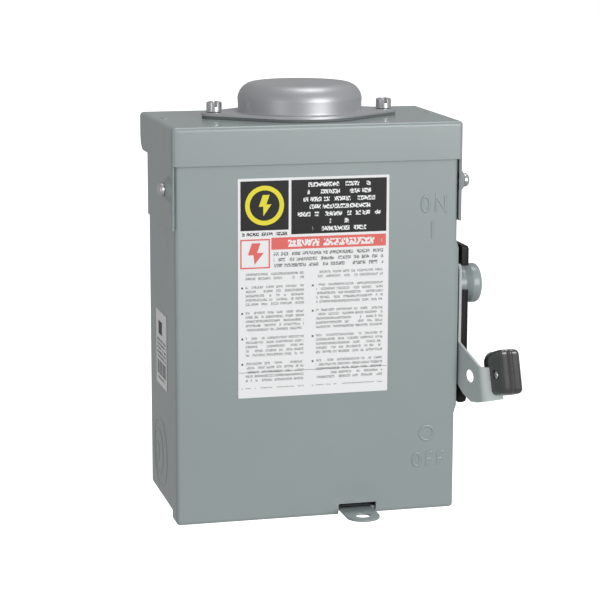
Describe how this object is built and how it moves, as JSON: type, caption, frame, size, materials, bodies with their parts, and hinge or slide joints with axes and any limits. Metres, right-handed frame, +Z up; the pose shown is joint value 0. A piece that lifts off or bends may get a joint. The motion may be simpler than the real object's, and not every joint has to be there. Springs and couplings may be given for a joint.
{
  "type": "ac disconnect box",
  "caption": "Outdoor AC disconnect box: grey rain-tight sheet steel safety switch with a side handle, lift-up cover, round hub plate on top and knife blades inside",
  "frame": {"origin": "centre of the flat back that goes against the wall", "axes": "+X to the right seen from the front, +Y out of the back into the wall, +Z up"},
  "size_m": [0.2225, 0.1235, 0.2659],
  "materials": {
    "grey_enamel": "baked light grey enamel, satin",
    "satin_zinc_casting": "satin grey painted zinc casting",
    "zinc_plate": "bright zinc plated steel",
    "black_moulding": "black moulded thermoset, semi-gloss",
    "brown_phenolic": "dark brown phenolic, matt",
    "tinned_copper": "copper, lightly tarnished",
    "aluminium_lug": "tin plated aluminium, satin",
    "gasket_rubber": "black gasket rubber, matt",
    "white_label": "printed white film",
    "white_nylon": "natural nylon",
    "spring_steel": "oiled spring steel",
    "smoke_polycarbonate": "clear polycarbonate, faint smoke tint"
  },
  "bodies": {
    "enclosure": {"base_screw_lower": "zinc_plate", "base_screw_upper": "zinc_plate", "bearing_clip_left": "spring_steel", "bearing_clip_right": "spring_steel", "enclosure_base": "grey_enamel", "ground_bar": "aluminium_lug", "ground_screw_lower": "zinc_plate", "ground_screw_upper": "zinc_plate", "guard_screw_lower": "zinc_plate", "guard_screw_upper": "zinc_plate", "handle_guard": "black_moulding", "hinge_pin_left": "zinc_plate", "hinge_pin_right": "zinc_plate", "hub_closing_plate": "satin_zinc_casting", "hub_gasket": "gasket_rubber", "hub_screw_left": "zinc_plate", "hub_screw_right": "zinc_plate", "line_jaw_1": "tinned_copper", "line_jaw_2": "tinned_copper", "line_lug_1": "aluminium_lug", "line_lug_2": "aluminium_lug", "line_lug_screw_1": "zinc_plate", "line_lug_screw_2": "zinc_plate", "line_shield": "smoke_polycarbonate", "load_jaw_1": "tinned_copper", "load_jaw_2": "tinned_copper", "load_lug_1": "aluminium_lug", "load_lug_2": "aluminium_lug", "load_lug_screw_1": "zinc_plate", "load_lug_screw_2": "zinc_plate", "rain_hood": "grey_enamel", "rating_label": "white_label", "shaft_bush": "white_nylon", "spring_anchor": "zinc_plate", "switch_base": "brown_phenolic", "toggle_spring": "spring_steel"},
    "cover": {"front_cover": "grey_enamel", "warning_label": "white_label"},
    "handle": {"handle_lever": "grey_enamel", "handle_hub": "grey_enamel", "handle_grip": "black_moulding", "grip_screw": "zinc_plate", "handle_shaft": "zinc_plate", "shaft_ring": "spring_steel", "drive_crank": "zinc_plate", "drive_pin": "zinc_plate"},
    "rotor": {"switch_rotor": "black_moulding", "blade_1": "tinned_copper", "blade_2": "tinned_copper"}
  },
  "joints": [
    {"name": "cover_hinge", "type": "hinge", "parent": "enclosure", "child": "cover", "pos_m": [0, -0.088, 0.0847], "axis": [-1, 0, 0], "range_deg": [0, 110]},
    {"name": "handle_turn", "type": "hinge", "parent": "enclosure", "child": "handle", "pos_m": [0.092, -0.073, 0.0172], "axis": [-1, 0, 0], "range_deg": [0, 100], "deforming": ["toggle_spring"]},
    {"name": "rotor_turn", "type": "hinge", "parent": "enclosure", "child": "rotor", "pos_m": [0, -0.073, 0.0172], "axis": [-1, 0, 0], "range_deg": [0, 60]}
  ],
  "couplings": [
    {"joint": "rotor_turn", "follows": "handle_turn", "ratio": 0.6}
  ]
}
